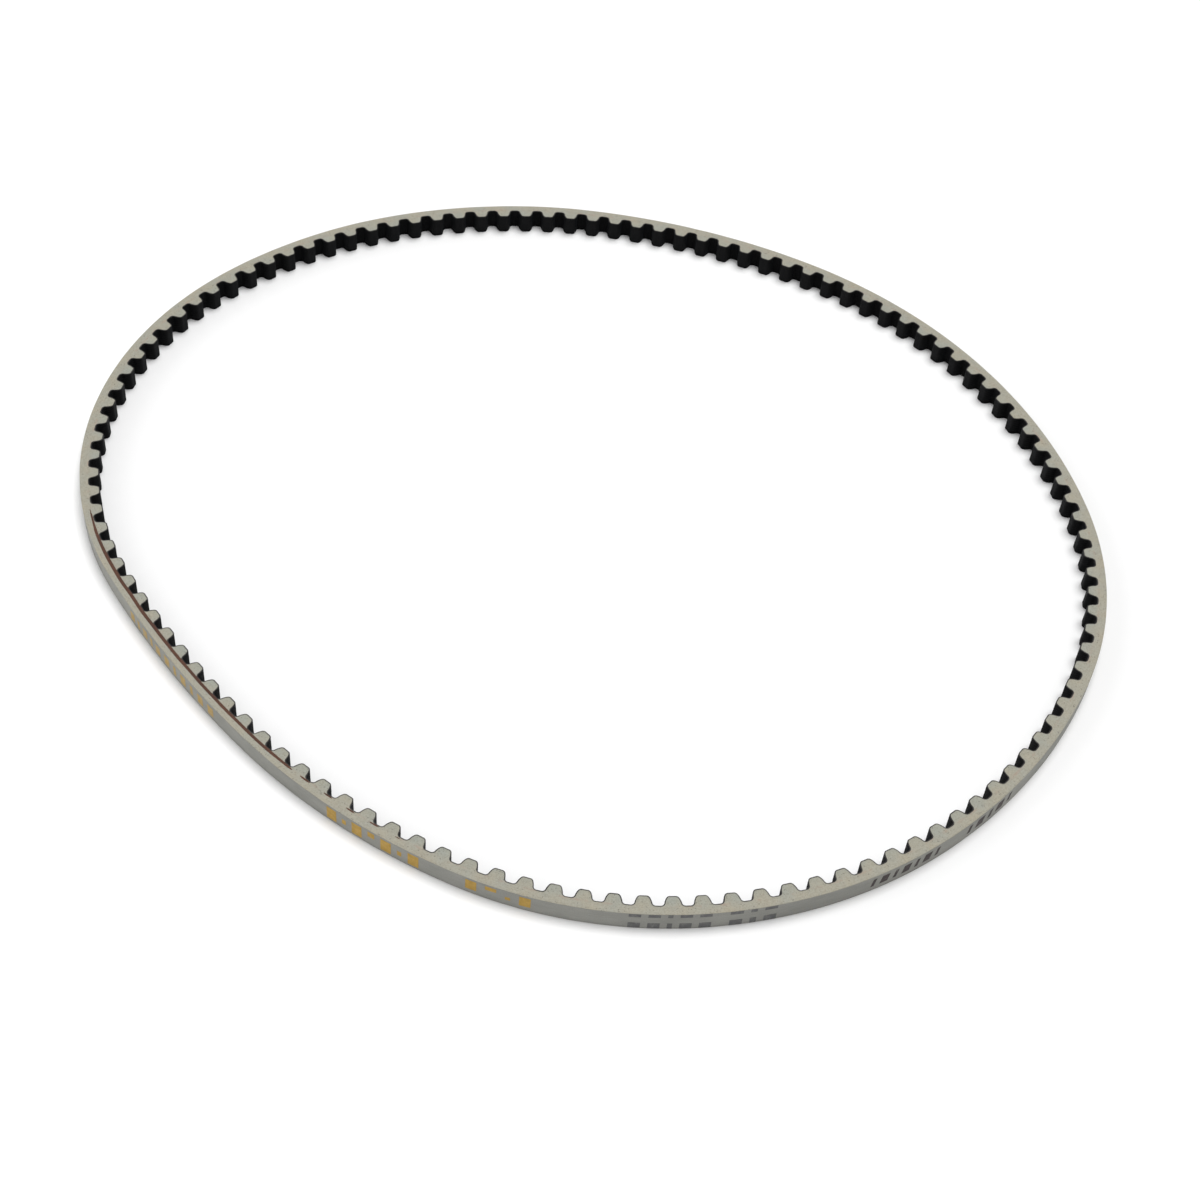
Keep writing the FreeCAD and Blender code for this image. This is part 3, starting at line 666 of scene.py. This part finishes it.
make_print("print_grey_lower", 7,
           bars_row(7, 18.4, 26.6, [1.2, 1.2, 0.5, 1.2, 1.2], 0.7, 0.06, 0.95, 0.0)
           + bars_row(8, 1.4, 6.2, [1.2, 0.6, 1.2], 0.7, 0.06, 0.95, 0.0),
           M_GREY, ["print_grey_08"])
make_print("print_dark_long", 8,
           bars_row(8, 16.6, 25.0, [0.5, 1.2, 0.5, 1.2, 0.5, 1.2, 0.5], 0.9, 0.75, 1.95, 0.25)
           + bars_row(9, 2.2, 9.0, [0.5, 1.2, 0.5, 1.2, 0.5], 0.9, 0.75, 1.95, 0.25),
           M_DARK, ["print_dark_08", "print_dark_09"])

# ------------------------------------------------------------------ frayed threads of the facing's cut edge
def fray():
    rng = random.Random(7)
    parts = {}
    spots = [57.8, 58.2, 62.3, 64.8, 67.0, 68.1, 71.4, 75.2, 76.0, 79.6, 84.5, 93.2, 52.4, 49.1]
    for c in spots:
        for q in range(rng.choice([1, 2, 3])):
            s = c + rng.uniform(-0.35, 0.35)
            j = int(np.argmin(np.abs(OUT_S - s)))
            n = float(OUT_N[j]); s = float(OUT_S[j])
            ln = rng.uniform(0.25, 0.6)
            s += rng.uniform(-0.06, 0.06)
            drop = 0.03 + 0.02 * q + rng.uniform(0.0, 0.012)
            ds, dn, dz = rng.uniform(-0.5, 0.5), rng.uniform(-0.9, -0.2), rng.uniform(-0.15, 0.35)
            seg = min(12, max(0, int((s - SPLIT) // LINK) + 1))
            rings = []
            for t in np.linspace(0, 1, 7):
                bend = t * t
                cs, cn = s + ln * (ds * t + 0.3 * ds * bend), n + 0.03 + ln * dn * t
                cz = float(top_z(s, n)) - drop + ln * (dz * t - 0.25 * bend * (dz > 0))
                r = 0.016 * (1 - 0.6 * t)
                rings.append([(cs + r * math.cos(a), cn, cz + r * math.sin(a)) for a in np.linspace(0, 2 * math.pi, 6, endpoint=False)])
            parts.setdefault(seg, []).append(sweep(rings, True))
    for seg, ps in parts.items():
        V, B, F, M = join_parts(ps)
        ob = make_object("facing_threads_%02d" % seg, V, B, F, [M_FAB], None)
        attach(ob, seg, [])


fray()

# ------------------------------------------------------------------ floor, light, camera
def floor():
    me = bpy.data.meshes.new("floor")
    s = 3.0
    me.from_pydata([(-s, -s, -2e-5), (s, -s, -2e-5), (s, s, -2e-5), (-s, s, -2e-5)], [], [(0, 1, 2, 3)])
    ob = bpy.data.objects.new("floor", me)
    bpy.context.scene.collection.objects.link(ob)
    m = bpy.data.materials.new("floor_white")
    m.use_nodes = True
    b = m.node_tree.nodes["Principled BSDF"]
    b.inputs["Base Color"].default_value = (0.93, 0.93, 0.93, 1)
    b.inputs["Roughness"].default_value = 1.0
    b.inputs["Specular IOR Level"].default_value = 0.0
    me.materials.append(m)


floor()
scene = bpy.context.scene
scene.view_settings.view_transform = "Standard"
scene.view_settings.look = "None"
world = bpy.data.worlds.new("studio")
scene.world = world
world.use_nodes = True
bg = world.node_tree.nodes["Background"]
bg.inputs[0].default_value = (1.0, 1.0, 1.0, 1)
bg.inputs[1].default_value = 0.29


def sun(name, toward, strength, angle):
    d = bpy.data.lights.new(name, "SUN")
    d.energy = strength
    d.angle = math.radians(angle)
    ob = bpy.data.objects.new(name, d)
    ob.rotation_mode = "QUATERNION"
    ob.rotation_quaternion = Vector(toward).to_track_quat("-Z", "Y")
    scene.collection.objects.link(ob)


VIEW = Vector((-0.265643, 0.605983, -0.749812))
RIGHT = Vector((0.881288, 0.467952, 0.065967))
DOWN = Vector((0.390851, -0.643277, -0.658354))
# main light: high, soft, a little from behind the loop
sun("key", (-0.05, -0.22, -1.0), 2.25, 38)
sun("fill", (-0.55, 0.45, -0.7), 0.20, 60)
# weak broad light from the left, on the ground back at the left front
sun("left", (0.86, 0.38, -0.34), 1.15, 60)

cam = bpy.data.cameras.new("camera")
cam.sensor_width = 36.0
cam.lens = 2052.44 / 1200 * 36.0
cam.clip_start, cam.clip_end = 0.01, 20.0
co = bpy.data.objects.new("camera", cam)
co.location = Vector((68.9417, -151.3754, 173.4076)) * MM
rot = Matrix((RIGHT, -DOWN, -VIEW)).transposed()
co.rotation_mode = "QUATERNION"
co.rotation_quaternion = rot.to_quaternion()
scene.collection.objects.link(co)
scene.camera = co
